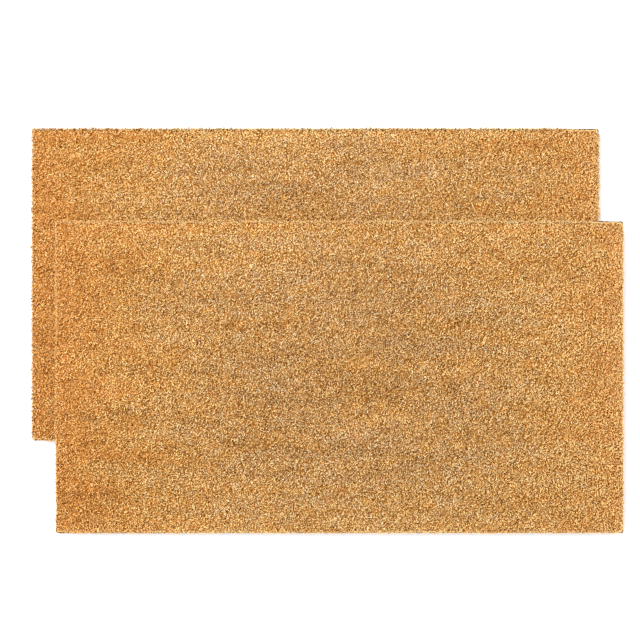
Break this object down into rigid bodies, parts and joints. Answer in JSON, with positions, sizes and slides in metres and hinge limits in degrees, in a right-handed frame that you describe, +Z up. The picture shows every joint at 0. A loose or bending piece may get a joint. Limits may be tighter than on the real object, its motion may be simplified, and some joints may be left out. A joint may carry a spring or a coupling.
{
  "type": "door mat",
  "caption": "Plain rectangular coir door mats with a dense upright coconut-fibre pile on a thin black PVC backing, one laid loosely on the other and shifted to the front right.",
  "frame": {"origin": "on the floor, under the middle of the two mats' overall outline", "axes": "+X along a mat's length towards its right end, +Y across its width towards the back, +Z up out of the pile"},
  "size_m": [0.6256, 0.428, 0.0303],
  "materials": {
    "coir_pile": "matte",
    "pvc_backing": "matte"
  },
  "bodies": {
    "lower_mat": {"lower_backing": "pvc_backing", "lower_pile": "coir_pile"},
    "upper_mat": {"upper_backing": "pvc_backing", "upper_pile": "coir_pile"}
  },
  "joints": [
    {"name": "upper_mat_lift", "type": "slide", "parent": "lower_mat", "child": "upper_mat", "axis": [0, 0, 1], "range_m": [0, 0.15]}
  ]
}
